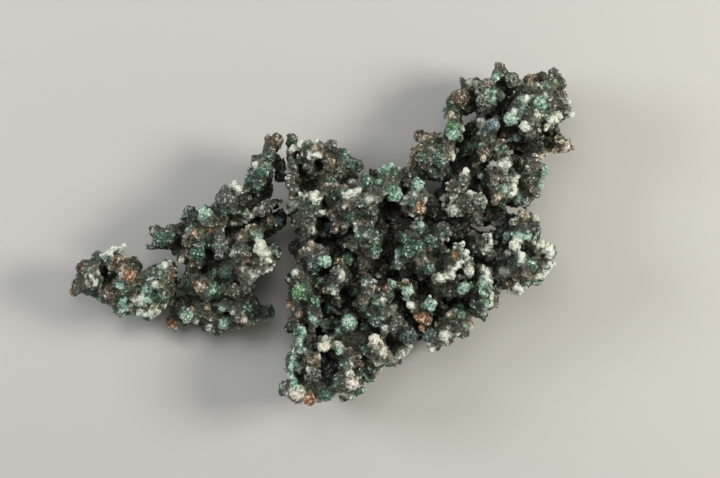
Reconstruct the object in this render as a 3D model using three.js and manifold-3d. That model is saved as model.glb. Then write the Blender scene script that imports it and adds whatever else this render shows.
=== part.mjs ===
// A branching, knobbly specimen of black manganese oxide with a green copper crust, on its flattest side.
// It grew as one mass, so each mesh is one limb between two forks, with its lumps, knobs and pits.
// Millimetres, +X along the specimen, +Z up; the origin is under its middle, on the surface it lies on.
import * as THREE from "three";
import { mergeVertices } from "three/addons/utils/BufferGeometryUtils.js";
import Module from "manifold-3d";

const wasm = await Module();
wasm.setup();

// Driving dimensions. Every place below is in millimetres from the middle of the specimen.
const specimenReach = 120; // left tip to right-hand tip
const forkGap = 0.3; // parting between two limbs at a fork
const massShare = 0.95; // share of a mass's half widths that its own surface has, under the knobs and lumps
const massFullness = 0.85; // power that swells a mass's rounded top and underside towards flat ones
const ballSwell = 1.04; // a faceted ball is drawn this much over size, to fill its round
const roughness = 0.18; // how far a corner strays from round, as a share of its radius
const fineBall = 2; // a ball under this radius has twenty faces, and a larger one has eighty
const goldenAngle = Math.PI * (3 - Math.sqrt(5));
const carried = 0.95; // how deep in a mass a carried lump's middle lies: 0 is the core, 1 the surface
const stride = 1.1; // step from a lump to the next one under it, as a share of its radius
const flankKnobs = { least: 1.9, most: 3.2, apart: 6, proud: 1.02, lowest: 1.5, places: 60 };
const steepestTurn = 0.3; // cosine of the most that a face may turn when a surface is thinned
const passShare = 0.1; // share of the edges that one pass of thinning takes up
const cutterSize = 3 * specimenReach; // side of the block that trims a limb at a fork or at the rest plane

// Each limb has a colour, the number of faces left to it when its surface is thinned out,
// masses [x, y, z, half width, half depth, half height], its body,
// lumps [x, y, z, radius] that crowd over its top, and pits, hollows with a mass's six numbers.
const limbs = {
  left_arm: {
    colour: 0x4b5246,
    faces: 560,
    masses: [
      [-54, -11, 10.5, 4, 3.5, 5.5], [-45.5, -12.5, 8, 6, 5, 9], [-38, -11.5, 11, 4.5, 4.5, 7],
      [-48.5, -7, 13, 3, 2.5, 6], [-52.5, -8, 11, 2.5, 2, 6], [-42, -15.5, 10.5, 5.5, 3, 7],
      [-37.5, -15, 10, 3, 3, 6],
    ],
    lumps: [
      [-59, -13.5, 8, 1.8], [-55.5, -12, 10, 3], [-55, -8.5, 13, 2.8], [-52.5, -6.5, 14, 2.3],
      [-49, -5, 18, 2.3], [-46.5, -4, 19, 1.8], [-49.5, -14, 13, 3.3], [-46, -16.5, 13, 3],
      [-44.5, -9.5, 17, 3], [-41, -15.5, 15, 3.5], [-40, -10.5, 17, 3], [-36, -8.5, 17, 3],
      [-58.5, -14.3, 9, 1.5], [-38, -16.5, 12, 2.3],
    ],
  },
  left_ridge: {
    colour: 0x5a5f4c,
    faces: 800,
    masses: [
      [-36.5, -1, 10.5, 3.5, 2, 4.5], [-29.5, -0.5, 13, 4, 4, 7], [-20, 7, 14, 4, 3.5, 7],
      [-14.5, 12, 14, 3, 4.5, 6], [-11.5, 19.5, 15, 1.5, 3, 4.5], [-11.5, 5, 15, 4.5, 3, 6.5],
      [-40, -3, 9, 2, 1, 4], [-26.5, 3, 14, 2.5, 3, 6], [-10.5, 21.5, 17, 1.5, 2, 3.5],
      [-32, -4, 10, 3, 2, 5], [-23, 3, 11, 3.5, 2.5, 6], [-17, 4.2, 11, 4, 2.5, 6],
      [-15.5, 8.5, 11, 3.5, 2.5, 6], [-9.5, 16, 13, 1.8, 3, 4.5],
    ],
    lumps: [
      [-41, -3.5, 8, 1.5], [-37.5, -1.5, 12, 2.8], [-34.5, 0.5, 13, 2.5], [-30.5, 4, 15, 2.8],
      [-26.5, 4.5, 18, 2.8], [-24, 0, 17, 2], [-22, 7.5, 19, 3.3], [-19, 10, 19, 2.5], [-17, 4, 21, 1.8],
      [-14, 5.5, 21, 1.5], [-15, 12, 17, 2.5], [-12.5, 15, 18, 2.5], [-14.5, 16.5, 17, 1.8],
      [-12, 19, 18, 2], [-10, 21.5, 19, 2], [-10, 23.5, 19, 1.3], [-11.5, 7, 20, 2], [-9.5, 6.5, 19, 2],
    ],
  },
  lower_left_lobe: {
    colour: 0x47564c,
    faces: 980,
    masses: [
      [-19, -5, 12, 5.5, 5, 8], [-25, -12.5, 7, 5.5, 4, 7.5], [-19, -17, 6, 4, 4, 6.5],
      [-30.5, -18.5, 6, 4, 3.5, 6.5], [-30, -11.5, 10, 3.5, 4, 6], [-13.5, -5.5, 14.5, 3, 4, 6.5],
      [-22.5, -21, 5, 3.5, 2.5, 5.5], [-15, -18.5, 7, 3, 2, 4], [-33.5, -20, 5, 2.5, 2.5, 5.5],
      [-29, -5.5, 11.5, 2.5, 2.5, 5.5], [-12, 2.2, 10.5, 3.2, 2.6, 6], [-16.5, 0.5, 11, 4, 2.5, 6],
      [-26, -6.5, 9, 3, 4, 6.5], [-31, -8.5, 10, 2.2, 2.5, 6], [-25.5, -20, 5.5, 3, 3, 5.5],
    ],
    lumps: [
      [-18, -1, 17, 2.8], [-14.5, 0, 19, 2.3], [-23, -4, 17, 2.8], [-13.5, -4, 20, 2.3],
      [-13.5, -8, 19, 2.5], [-17, -9.5, 18, 2.8], [-25, -9, 13, 2.3], [-28.5, -12.5, 11, 2],
      [-25, -13, 12, 1.8], [-21, -13, 12, 2.3], [-17, -13, 12, 2.5], [-31.5, -9, 13, 2.3],
      [-29, -4.5, 16, 2.5], [-33.5, -16.5, 9, 2.3], [-29.5, -16, 9, 2.3], [-35, -21, 8, 2.3],
      [-28.5, -22.5, 6, 1.8], [-26.5, -19, 9, 2.3], [-23, -17, 11, 2], [-23, -21.5, 8, 2.3],
      [-16, -16.5, 10, 2.3], [-19, -22, 6, 1.8], [-15.5, -19.5, 8, 2], [-12.5, -20, 8, 1.5],
      [-26.5, -22, 8, 1.8],
    ],
  },
  centre: {
    colour: 0x4a4f48,
    faces: 1120,
    masses: [
      [1, 15.5, 14.5, 6.5, 4.5, 7.5], [-2.5, 5.5, 15, 4, 5, 7], [7, 7, 15, 6.5, 6, 10],
      [10.5, -1.5, 12, 4.5, 5, 9], [16, 12.5, 15.5, 3.5, 3, 6.5], [-6, 6.5, 15, 3.5, 2, 6],
      [14, -4, 10, 3.5, 3.5, 6], [-6.5, 15, 15, 1.5, 5, 6], [2.5, 10.5, 16.5, 3, 3, 7.5],
      [-6.6, 18, 14, 1.6, 4, 5.5], [-3.5, 0.8, 12, 2.8, 2.4, 6.5], [2.5, 0.5, 9.5, 4.5, 3, 6.5],
      [15, 4.5, 7, 4, 4.5, 5], [16.5, -0.5, 8, 3, 3.5, 5.5], [-3, 11, 13, 3, 3.5, 6],
    ],
    lumps: [
      [-6, 20, 21, 1.3], [-4, 20, 20, 2.3], [-1, 20.5, 21, 2.3], [2.5, 20, 20, 2], [6, 18, 19, 2.3],
      [8.5, 16, 19, 2.3], [-6.5, 16, 20, 2], [-6.5, 12, 21, 2], [-5.5, 8.5, 22, 2.3],
      [2.5, 11.5, 24, 2.8], [-1, 8.5, 24, 2.3], [6, 9.5, 24, 2.3], [-4.5, 3, 20, 2.8],
      [-2, 0.5, 21, 2.3], [2.5, 5, 22, 2.3], [4, 1.5, 20, 2.5], [11, 12.5, 22, 2.3], [12, 8.5, 24, 2.5],
      [12, 5, 24, 2.3], [12, 0, 22, 2.5], [7.5, -3, 19, 2.5], [13, -4, 19, 2.5], [14.5, 15.5, 20, 1.8],
      [17, 16, 20, 1.3], [16.5, 11, 22, 2.8],
    ],
    pits: [
      [0, 16, 22, 1.5, 2, 7],
      [-2.5, 11.5, 22, 1, 2, 7],
      [6.5, 6.5, 23, 1.5, 1, 6],
    ],
  },
  lower_lobe: {
    colour: 0x4a564c,
    faces: 1560,
    masses: [
      [-3, -13, 12, 4, 9, 8], [-2.5, -28.5, 12, 4, 8, 9], [-0.5, -34.5, 8.5, 5, 4, 9],
      [7, -28.5, 10.5, 6, 7, 11.8], [14, -17, 12.5, 7, 6.5, 8.5], [17.5, -22.5, 11.5, 5.5, 4, 6.5],
      [4.5, -12, 12, 4.5, 7, 7], [9, -8, 11.5, 5, 4, 5.5], [-5.5, -35.5, 13, 2.5, 3.5, 7],
      [6, -34.5, 14, 4, 3.5, 9], [12.5, -27, 14, 3.5, 4, 8], [1, -26, 17, 2.5, 2, 7],
      [7, -21, 15.5, 2.5, 2.5, 6.5], [16, -29.5, 9, 2.5, 2, 5], [-3.5, -4.5, 9.5, 3, 3, 6.5],
      [2, -5, 9, 4, 3, 6], [14.5, -8.5, 8.5, 3.5, 3.5, 6.5], [2.5, -19, 10, 3.5, 3, 6.5],
      [-5.5, -20, 13, 2.3, 3, 6], [17, -26.5, 9.5, 3, 2.5, 6], [8, -15, 9, 3.5, 4, 6],
    ],
    lumps: [
      [-0.5, -3.5, 19, 2.5], [-4, -6.5, 17, 2], [-5.5, -10, 18, 2.3], [-4, -13.5, 21, 2.8],
      [-7, -17, 17, 1.8], [-5, -23, 21, 2.3], [-5, -27.5, 22, 2.3], [-6.5, -31.5, 20, 2.3],
      [-5.5, -36, 19, 2.5], [-2.5, -38, 19, 2.3], [1.5, -37, 20, 2.3], [-1, -32.5, 23, 1.8],
      [-1.5, -29, 22, 2], [1, -26, 25, 2], [1, -6, 22, 2], [4.5, -8.5, 20, 2], [2.5, -13, 19, 2.3],
      [-1, -16.5, 20, 2], [-1, -20.5, 20, 2], [2.5, -21.5, 19, 2.3], [7, -21, 23, 2.5],
      [4.5, -26.5, 22, 2], [6, -30.5, 23, 2.3], [8, -34.5, 23, 2.3], [6.5, -37.5, 19, 2],
      [12.5, -25.5, 23, 2.3], [13.5, -29, 21, 2.3], [13, -32.5, 16, 2], [16.5, -30.5, 15, 1.8],
      [20, -27.5, 15, 2], [10, -7, 17, 2.3], [11, -11, 20, 2.3], [13.5, -13.5, 20, 2.3],
      [10, -16, 19, 2.3], [17, -12, 22, 2.3], [13, -20.5, 19, 2.3], [18.5, -21, 19, 2.5],
      [21, -24, 17, 2.5], [-5, -38.5, 14, 2], [0, -38.6, 14, 1.8], [9, -36.5, 16, 2],
    ],
    pits: [
      [6.5, -15.5, 20, 2, 3.5, 8],
      [16, -25, 18, 1.5, 1.5, 5],
    ],
  },
  right_lobe: {
    colour: 0x4f5249,
    faces: 1150,
    masses: [
      [23.5, -4, 13.5, 5, 6, 8.5], [30.5, -9.5, 14, 6.5, 6.5, 9], [30, -19, 9, 5.5, 5.5, 10],
      [37.5, -12, 15, 3.5, 6, 7], [37.5, -2.5, 12.5, 4, 4, 6.5], [19, -5, 11.5, 3.5, 4, 5.5],
      [23.5, -17, 11, 4, 5, 7], [32.5, -5, 17, 3, 2, 7], [20, -13, 14, 3, 3, 7],
      [40, -3, 14.5, 2.5, 3, 6.5], [20.5, -10, 10, 3.2, 4, 6.5], [26.5, 0.3, 11.5, 5, 3, 7],
      [32.5, -0.5, 11, 4, 3, 7], [40.5, -9, 12, 2.5, 3.5, 7], [27.5, -23.5, 11, 4.5, 3, 7],
      [37, -17, 10, 3, 3, 7],
    ],
    lumps: [
      [20.5, -13, 22, 2.5], [21.5, -17, 21, 2.3], [20, -1, 19, 2.3], [18.5, -7.5, 19, 2.5],
      [23, 2, 20, 2], [29.5, 1, 21, 2.3], [25.5, -3, 21, 2.5], [25, -7.5, 21, 2.8], [32, -3.5, 25, 2],
      [34.5, -5.5, 25, 1.8], [30, -8.5, 25, 1.8], [27.5, -10.5, 24, 2], [35.5, -8.5, 25, 1.8],
      [39, -12.5, 24, 2], [38.5, -16, 22, 2], [37.5, -18.5, 19, 1.8], [33.5, -12.5, 22, 2.3],
      [30.5, -14, 19, 2.3], [25.5, -16.5, 21, 2.3], [31, -19, 21, 2], [25.5, -24, 17, 2.3],
      [29.5, -24.5, 17, 2.3], [33.5, -22, 18, 2], [35.5, -21, 16, 1.8], [41.5, -12, 17, 1.5],
      [36, -1.5, 18, 2.3], [39.5, -1, 22, 2], [40, -5, 20, 1.8], [40.5, -14, 17, 1.8],
    ],
    pits: [
      [32.5, -9.5, 24, 1.5, 1.5, 8],
      [28.5, -15.5, 21, 1.5, 1.5, 5],
    ],
  },
  right_knob: {
    colour: 0x5b5c52,
    faces: 480,
    masses: [
      [47.5, 0.5, 15, 4, 4, 8], [47.5, -7.5, 11.5, 5, 4.5, 12], [43, -5, 12.5, 3, 3.5, 5.5],
      [53, -5.5, 14, 2, 3, 7], [43.5, 1, 11, 3, 3, 7], [43.5, -8.5, 9.5, 2.5, 3, 7],
      [45, -11, 10, 3, 2.8, 7],
    ],
    lumps: [
      [46, 3.5, 22, 2], [48.5, 4, 21, 2], [50.5, 2, 21, 2], [45, -2, 23, 2], [46.5, -5.5, 23, 2],
      [51.5, -3, 22, 2], [53, -6, 21, 1.8], [52, -8.5, 20, 2], [49.5, -10.5, 20, 2],
      [46.5, -12.5, 19, 2], [43.5, -9.5, 19, 2], [45, -11.8, 17, 2],
    ],
    pits: [
      [49, -4, 23, 1, 2, 5],
    ],
  },
  upper_right_arm: {
    colour: 0x46504a,
    faces: 1960,
    masses: [
      [26, 17.5, 14, 4, 6, 8], [22.5, 8, 15.5, 2.5, 4, 7.5], [33, 7.5, 9, 5.5, 5.5, 9.5],
      [42.5, 11.5, 14, 5, 4.5, 8], [49, 12.5, 13, 3, 4.5, 7], [31.5, 24.5, 13.5, 2.5, 4, 6.5],
      [38, 22, 11, 5, 6, 7], [39.5, 32, 12.5, 5, 5, 6.5], [51.5, 30.5, 11, 6.5, 6, 11.5],
      [49.5, 22, 11, 6, 4, 7], [19.5, 12.5, 13, 3, 3, 6], [32, 4.5, 10, 4.5, 3, 7],
      [33.5, 12, 12, 4, 3.5, 8], [43, 16.5, 15, 3, 2, 9], [42, 37, 13, 2.5, 3, 6], [48, 25, 15, 3, 2, 8],
      [56, 21.5, 14, 2, 2, 6], [49.5, 36, 12.5, 2.5, 2, 6.5], [34, 30.5, 11.5, 3.5, 3, 5.5],
      [20.5, 4.5, 8, 3, 4, 6.5], [20.5, 14, 12, 2.5, 3.5, 6], [27, 4.5, 10, 5, 2.5, 6.5],
      [40, 5.5, 10, 4.5, 3.5, 6.5], [46.5, 8.5, 11, 4, 2.5, 6.5], [32.5, 18, 9.5, 3, 4, 6.5],
      [37, 14.5, 9.5, 3, 3.5, 6.5], [47, 16.5, 9.5, 3, 3, 6.5], [44, 27, 9.5, 3, 5.5, 6.5],
      [55, 24.5, 12, 2.5, 2.8, 5.5],
    ],
    lumps: [
      [22.5, 11.5, 22, 2.3], [22.5, 7, 23, 2.8], [21.5, 15, 18, 2.3], [23, 19, 18, 2.5],
      [26, 21.5, 18, 2.5], [29, 18.5, 21, 3], [31, 23.5, 21, 2.5], [31, 27, 19, 2.3], [31, 11, 21, 2.5],
      [34, 14.5, 22, 1.8], [38, 17, 21, 1.3], [36, 7, 21, 3.3], [30.5, 6, 19, 2.3], [36.5, 3, 20, 2],
      [43, 15.5, 24, 2], [42, 12, 21, 2.5], [44.5, 10, 21, 1.8], [42.5, 6.5, 17, 2], [49, 16, 20, 2.3],
      [51.5, 14, 20, 1.8], [51, 10.5, 19, 2], [48, 7, 18, 1.8], [33, 31.5, 17, 2.3],
      [39.5, 34.5, 19, 2.3], [36.5, 35, 16, 1.8], [42, 37, 20, 2], [42, 39.5, 20, 1.3],
      [45.5, 36, 19, 2], [39.5, 30, 17, 2.3], [37.5, 26.5, 17, 2], [41, 25.5, 20, 2.3],
      [38, 20.5, 17, 2.3], [42, 20.5, 19, 2.3], [50, 37, 19, 1.3], [49.5, 34, 20, 2], [54, 36, 21, 2.3],
      [56, 34, 20, 2], [47.5, 31, 22, 2.3], [45.5, 27.5, 22, 2.3], [57.5, 30.5, 21, 1.8],
      [50.5, 28, 24, 2.3], [59, 28, 20, 1], [57, 27, 20, 1.8], [53.5, 26, 23, 2.3],
      [49.5, 22.5, 21, 1.3], [56, 22, 20, 1.8], [56.5, 20, 20, 1.3], [53, 18.5, 20, 1.3],
      [50.5, 18, 20, 1.5], [55.2, 37.2, 19, 1.8],
    ],
    pits: [
      [42.5, 29, 19, 1, 2.5, 6],
      [48.5, 20.5, 20, 4, 1, 7],
      [35, 24, 18, 1, 3.5, 5],
    ],
  },
};

// Where two limbs part: a point on the plane, and the direction from the first limb to the second.
const forks = [
  { limbs: ["left_arm", "lower_left_lobe"], at: [-34.2, -13.2, 10], facing: [0.925, -0.38, 0] },
  { limbs: ["left_ridge", "lower_left_lobe"], at: [-22.2, -0.7, 10], facing: [0.498, -0.867, 0] },
  { limbs: ["left_ridge", "centre"], at: [-8.2, 5.7, 15], facing: [1, 0, 0] },
  { limbs: ["lower_left_lobe", "centre"], at: [-8.2, 5.7, 15], facing: [1, 0, 0] },
  { limbs: ["centre", "lower_lobe"], at: [7.1, -4.2, 10], facing: [-0.305, -0.952, 0] },
  { limbs: ["centre", "upper_right_arm"], at: [18.1, 3.3, 10], facing: [0.99, -0.14, 0] },
  { limbs: ["centre", "right_lobe"], at: [18.1, 3.3, 10], facing: [0.99, -0.14, 0] },
  { limbs: ["lower_lobe", "right_lobe"], at: [21.6, -19.4, 10], facing: [0.91, 0.415, 0] },
  { limbs: ["upper_right_arm", "right_lobe"], at: [30.7, 1.9, 10], facing: [-0.196, -0.98, 0] },
  { limbs: ["right_lobe", "right_knob"], at: [41.3, -5.5, 10], facing: [0.983, 0.185, 0] },
  { limbs: ["upper_right_arm", "right_knob"], at: [47.2, 5.4, 10], facing: [0.614, -0.789, 0] },
];

// A repeatable stream of numbers from 0 to 1.
function stream(seed) {
  let state = seed;
  return () => {
    state = (state + 0x6d2b79f5) | 0;
    let t = Math.imul(state ^ (state >>> 15), 1 | state);
    t = (t + Math.imul(t ^ (t >>> 7), 61 | t)) ^ t;
    return ((t ^ (t >>> 14)) >>> 0) / 4294967296;
  };
}

// The geometry with only its places left, and each corner kept once.
function bare(geometry) {
  geometry.deleteAttribute("normal");
  geometry.deleteAttribute("uv");
  return mergeVertices(geometry, 1e-4);
}

function solidOf(geometry) {
  return new wasm.Manifold(
    new wasm.Mesh({
      numProp: 3,
      vertProperties: geometry.attributes.position.array,
      triVerts: new Uint32Array(geometry.index.array),
    }),
  );
}

// An uneven ball: turned at random, its corners pushed in and out, then stretched to its half sizes.
// A fullness under 1 squares off its top and its underside.
function nugget(centre, halfSize, random, fullness = 1) {
  const ball = bare(new THREE.IcosahedronGeometry(1, halfSize[0] < fineBall ? 0 : 1));
  const turn = new THREE.Euler(6.3 * random(), 6.3 * random(), 6.3 * random());
  ball.applyMatrix4(new THREE.Matrix4().makeRotationFromEuler(turn));
  const place = ball.attributes.position;
  const corner = new THREE.Vector3();
  for (let i = 0; i < place.count; i++) {
    corner.fromBufferAttribute(place, i);
    corner.z = Math.sign(corner.z) * Math.abs(corner.z) ** fullness;
    corner.multiplyScalar(ballSwell * (1 + roughness * (random() - 0.5)));
    place.setXYZ(i, corner.x, corner.y, corner.z);
  }
  ball.scale(...halfSize);
  ball.translate(...centre);
  return solidOf(ball);
}

// How deep a point lies in an ellipsoid: 0 at its core, 1 at its surface, more outside.
function depthIn([x, y, z, rx, ry, rz], at) {
  return Math.hypot((at.x - x) / rx, (at.y - y) / ry, (at.z - z) / rz);
}

function underKnobs([x, y, z, rx, ry, rz]) {
  return [x, y, z, rx * massShare, ry * massShare, rz];
}

// A lump, and under it the ones that lead down to the nearest mass where it stands clear of them all.
function lumpOn(masses, [x, y, z, r], random) {
  const at = new THREE.Vector3(x, y, z);
  const balls = [nugget([x, y, z], [r, r, r], random)];
  const nearest = () => masses.reduce((near, mass) => (depthIn(mass, at) < depthIn(near, at) ? mass : near));
  for (let mass = nearest(); depthIn(mass, at) > carried; mass = nearest()) {
    const [mx, my, mz, rx, ry, rz] = mass;
    const out = new THREE.Vector3((at.x - mx) / rx ** 2, (at.y - my) / ry ** 2, (at.z - mz) / rz ** 2);
    at.addScaledVector(out.normalize(), -r * stride);
    balls.push(nugget(at.toArray(), [r, r, r], random));
  }
  return balls;
}

// Places for knobs on the flanks and the underside of a limb's masses: a golden spiral round each mass,
// thinned out to keep the knobs apart, and bare where another mass or a lump already covers it.
function flankPlaces({ masses, lumps }, random) {
  const places = [];
  const covers = [...masses, ...lumps.map(([x, y, z, r]) => [x, y, z, r, r, r])];
  for (const mass of masses) {
    const [x, y, z, rx, ry, rz] = mass;
    for (let k = 0; k < flankKnobs.places; k++) {
      const up = 1 - (2 * (k + 0.5)) / flankKnobs.places;
      const turn = goldenAngle * k + random();
      const out = Math.sqrt(1 - up * up) * flankKnobs.proud;
      const at = new THREE.Vector3(x + rx * out * Math.cos(turn), y + ry * out * Math.sin(turn), z + rz * up);
      const covered = covers.some((cover) => cover !== mass && depthIn(cover, at) < 1);
      const crowded = places.some((place) => place.distanceTo(at) < flankKnobs.apart);
      if (!covered && !crowded && at.z > flankKnobs.lowest) places.push(at);
    }
  }
  return places;
}

// Thinning: the ends of an edge are drawn together, the edge that changes the shape least first.
// How far a corner leaves the planes of its faces is summed in a symmetric 4 x 4 matrix, kept as 10 numbers.
function planeSum(face, place) {
  const plane = new THREE.Plane().setFromCoplanarPoints(...face.map((i) => place[i]));
  const { x, y, z } = plane.normal;
  const d = plane.constant;
  return [x * x, x * y, x * z, x * d, y * y, y * z, y * d, z * z, z * d, d * d];
}

function offPlanes([xx, xy, xz, xd, yy, yz, yd, zz, zd, dd], { x, y, z }) {
  const squares = xx * x * x + yy * y * y + zz * z * z + dd;
  return squares + 2 * (xy * x * y + xz * x * z + yz * y * z + xd * x + yd * y + zd * z);
}

function thinned(solid, mostFaces) {
  const { vertProperties, triVerts } = solid.getMesh();
  const place = [];
  for (let i = 0; i < vertProperties.length; i += 3) {
    place.push(new THREE.Vector3().fromArray(vertProperties, i));
  }
  const faces = new Set();
  const facesAt = place.map(() => new Set());
  const sums = place.map(() => new Array(10).fill(0));
  for (let i = 0; i < triVerts.length; i += 3) {
    const face = [...triVerts.subarray(i, i + 3)];
    faces.add(face);
    const sum = planeSum(face, place);
    for (const corner of face) {
      facesAt[corner].add(face);
      sums[corner] = sums[corner].map((value, k) => value + sum[k]);
    }
  }

  const neighbours = (i) => new Set([...facesAt[i]].flat().filter((j) => j !== i));

  // The cheapest place for an edge drawn together: one of its ends, or its middle.
  const joint = (a, b) => {
    const sum = sums[a].map((value, k) => value + sums[b][k]);
    const middle = place[a].clone().add(place[b]).multiplyScalar(0.5);
    const tries = [place[a], place[b], middle].map((at) => ({ at, cost: offPlanes(sum, at) }));
    return { a, b, sum, ...tries.reduce((best, one) => (one.cost < best.cost ? one : best)) };
  };

  // Drawn together, the edge may neither pinch the surface nor turn a face over.
  const staysSound = ({ a, b, at }) => {
    const near = neighbours(b);
    if ([...neighbours(a)].filter((i) => near.has(i)).length !== 2) return false;
    const moved = [...facesAt[a], ...facesAt[b]].filter((face) => !(face.includes(a) && face.includes(b)));
    return moved.every((face) => {
      const before = face.map((i) => place[i]);
      const after = face.map((i) => (i === a || i === b ? at : place[i]));
      const [was, is] = [before, after].map((p) => new THREE.Triangle(...p).getNormal(new THREE.Vector3()));
      return was.dot(is) > steepestTurn;
    });
  };

  const join = ({ a, b, at, sum }) => {
    place[a] = at.clone();
    sums[a] = sum;
    for (const face of facesAt[b]) {
      if (face.includes(a)) {
        faces.delete(face);
        face.forEach((i) => facesAt[i].delete(face));
      } else {
        face[face.indexOf(b)] = a;
        facesAt[a].add(face);
      }
    }
  };

  let settled = false;
  while (faces.size > mostFaces && !settled) {
    settled = true;
    const edges = [...faces].flatMap(([a, b, c]) => [[a, b], [b, c], [c, a]]).filter(([a, b]) => a < b);
    const joints = edges.map(([a, b]) => joint(a, b)).sort((one, two) => one.cost - two.cost);
    const busy = new Set();
    for (const one of joints.slice(0, joints.length * passShare)) {
      if (faces.size <= mostFaces) break;
      if (busy.has(one.a) || busy.has(one.b) || !staysSound(one)) continue;
      for (const i of [...neighbours(one.a), ...neighbours(one.b)]) busy.add(i);
      join(one);
      settled = false;
    }
  }

  const geometry = new THREE.BufferGeometry().setFromPoints(place);
  geometry.setIndex([...faces].flat());
  return solidOf(geometry);
}

function growLimb(limb, seed) {
  const random = stream(seed);
  const masses = limb.masses.map(underKnobs);
  const balls = masses.map(([x, y, z, ...half]) => nugget([x, y, z], half, random, massFullness));
  balls.push(...limb.lumps.flatMap((lump) => lumpOn(masses, lump, random)));
  for (const at of flankPlaces({ masses, lumps: limb.lumps }, random)) {
    const r = flankKnobs.least + (flankKnobs.most - flankKnobs.least) * random();
    balls.push(nugget(at.toArray(), [r, r, r], random));
  }
  const grown = balls.reduce((all, ball) => all.add(ball));
  const pitted = (limb.pits ?? []).reduce(
    (left, [x, y, z, ...half]) => left.subtract(nugget([x, y, z], half, random)),
    grown,
  );
  return thinned(pitted, limb.faces);
}

// A block that fills everything beyond a plane, on the side that the direction points to.
function beyond(at, facing) {
  const block = bare(new THREE.BoxGeometry(cutterSize, cutterSize, cutterSize));
  const out = new THREE.Vector3(...facing).normalize();
  block.translate(0, 0, cutterSize / 2);
  block.applyQuaternion(new THREE.Quaternion().setFromUnitVectors(new THREE.Vector3(0, 0, 1), out));
  block.translate(...at);
  return solidOf(block);
}

function partAtForks(name, solid) {
  let parted = solid;
  for (const { limbs: pair, at, facing } of forks) {
    if (!pair.includes(name)) continue;
    const away = pair[0] === name ? 1 : -1;
    const out = facing.map((part) => part * away);
    const edge = at.map((part, i) => part - (out[i] * forkGap) / 2);
    parted = parted.subtract(beyond(edge, out));
  }
  return parted;
}

function meshOf(name, solid, material) {
  const { vertProperties, triVerts } = solid.getMesh();
  const geometry = new THREE.BufferGeometry();
  geometry.setAttribute("position", new THREE.BufferAttribute(vertProperties, 3));
  geometry.setIndex(new THREE.BufferAttribute(triVerts, 1));
  geometry.computeVertexNormals();
  const mesh = new THREE.Mesh(geometry, material);
  mesh.name = name;
  return mesh;
}

const specimen = new THREE.Group();
const belowRest = beyond([0, 0, 0], [0, 0, -1]);
for (const [i, [name, limb]] of Object.entries(limbs).entries()) {
  const whole = growLimb(limb, 11 + i);
  const solid = partAtForks(name, whole).subtract(belowRest);
  const material = new THREE.MeshStandardMaterial({ color: limb.colour, roughness: 0.6, metalness: 0.15 });
  specimen.add(meshOf(name, solid, material));
}

// The origin goes under the middle of the specimen.
const box = new THREE.Box3().setFromObject(specimen);
const middle = box.getCenter(new THREE.Vector3());
specimen.position.set(-middle.x, -middle.y, -box.min.z);

export default specimen;
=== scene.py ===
import math
import random
from itertools import product

import bpy
import numpy as np
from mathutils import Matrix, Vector, noise
from mathutils.bvhtree import BVHTree
from mathutils.kdtree import KDTree


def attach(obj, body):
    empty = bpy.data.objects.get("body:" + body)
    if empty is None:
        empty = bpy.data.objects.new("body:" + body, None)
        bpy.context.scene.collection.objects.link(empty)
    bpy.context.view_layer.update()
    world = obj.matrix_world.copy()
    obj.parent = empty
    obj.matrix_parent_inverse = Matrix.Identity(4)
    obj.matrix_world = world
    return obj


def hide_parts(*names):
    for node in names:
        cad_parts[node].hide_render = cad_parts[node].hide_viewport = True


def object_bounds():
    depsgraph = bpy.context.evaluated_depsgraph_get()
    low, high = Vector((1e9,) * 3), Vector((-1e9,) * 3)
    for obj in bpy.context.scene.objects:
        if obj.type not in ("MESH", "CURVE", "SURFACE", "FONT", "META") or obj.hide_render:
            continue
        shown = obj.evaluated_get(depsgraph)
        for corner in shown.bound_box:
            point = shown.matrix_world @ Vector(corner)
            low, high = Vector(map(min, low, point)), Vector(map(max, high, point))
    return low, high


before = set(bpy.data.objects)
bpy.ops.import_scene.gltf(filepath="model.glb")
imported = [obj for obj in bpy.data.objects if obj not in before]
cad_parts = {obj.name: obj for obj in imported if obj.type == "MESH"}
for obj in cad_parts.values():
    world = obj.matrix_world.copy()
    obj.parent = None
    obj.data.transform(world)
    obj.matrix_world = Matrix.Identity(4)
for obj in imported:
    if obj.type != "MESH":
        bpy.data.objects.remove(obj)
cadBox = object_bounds()
mm = 0.001  # the sizes below are in millimetres, and Blender works in metres
aloft = 100  # rays that look down start this high, well over the specimen
down = Vector((0, 0, -1))
goldenShare = 3 - math.sqrt(5)  # the golden angle in half turns, which spreads places evenly over a ball
print("frame loaded:", len(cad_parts), "limbs")


def makeActive(piece):
    bpy.ops.object.select_all(action="DESELECT")
    piece.select_set(True)
    bpy.context.view_layer.objects.active = piece


def applyModifier(piece, kind, **settings):
    makeActive(piece)
    modifier = piece.modifiers.new(kind.lower(), kind)
    for setting, value in settings.items():
        setattr(modifier, setting, value)
    bpy.ops.object.modifier_apply(modifier=modifier.name)


def pointsOf(mesh, what="co"):
    points = np.empty(len(mesh.vertices) * 3, np.float32)
    mesh.vertices.foreach_get(what, points)
    return points.reshape(-1, 3)


def normalsOf(mesh):
    return pointsOf(mesh, "normal")


def setPoints(mesh, points):
    mesh.vertices.foreach_set("co", np.ascontiguousarray(points, np.float32).ravel())
    mesh.update()


def triangleCount(mesh):
    return sum(len(face.vertices) - 2 for face in mesh.polygons)


def treeOf(names):
    # the solids of these limbs as one surface that rays and distances can ask
    corners, faces = [], []
    for name in names:
        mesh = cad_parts[name].data
        start = len(corners)
        corners += [vertex.co.copy() for vertex in mesh.vertices]
        faces += [[start + i for i in face.vertices] for face in mesh.polygons]
    return BVHTree.FromPolygons(corners, faces)


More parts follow.
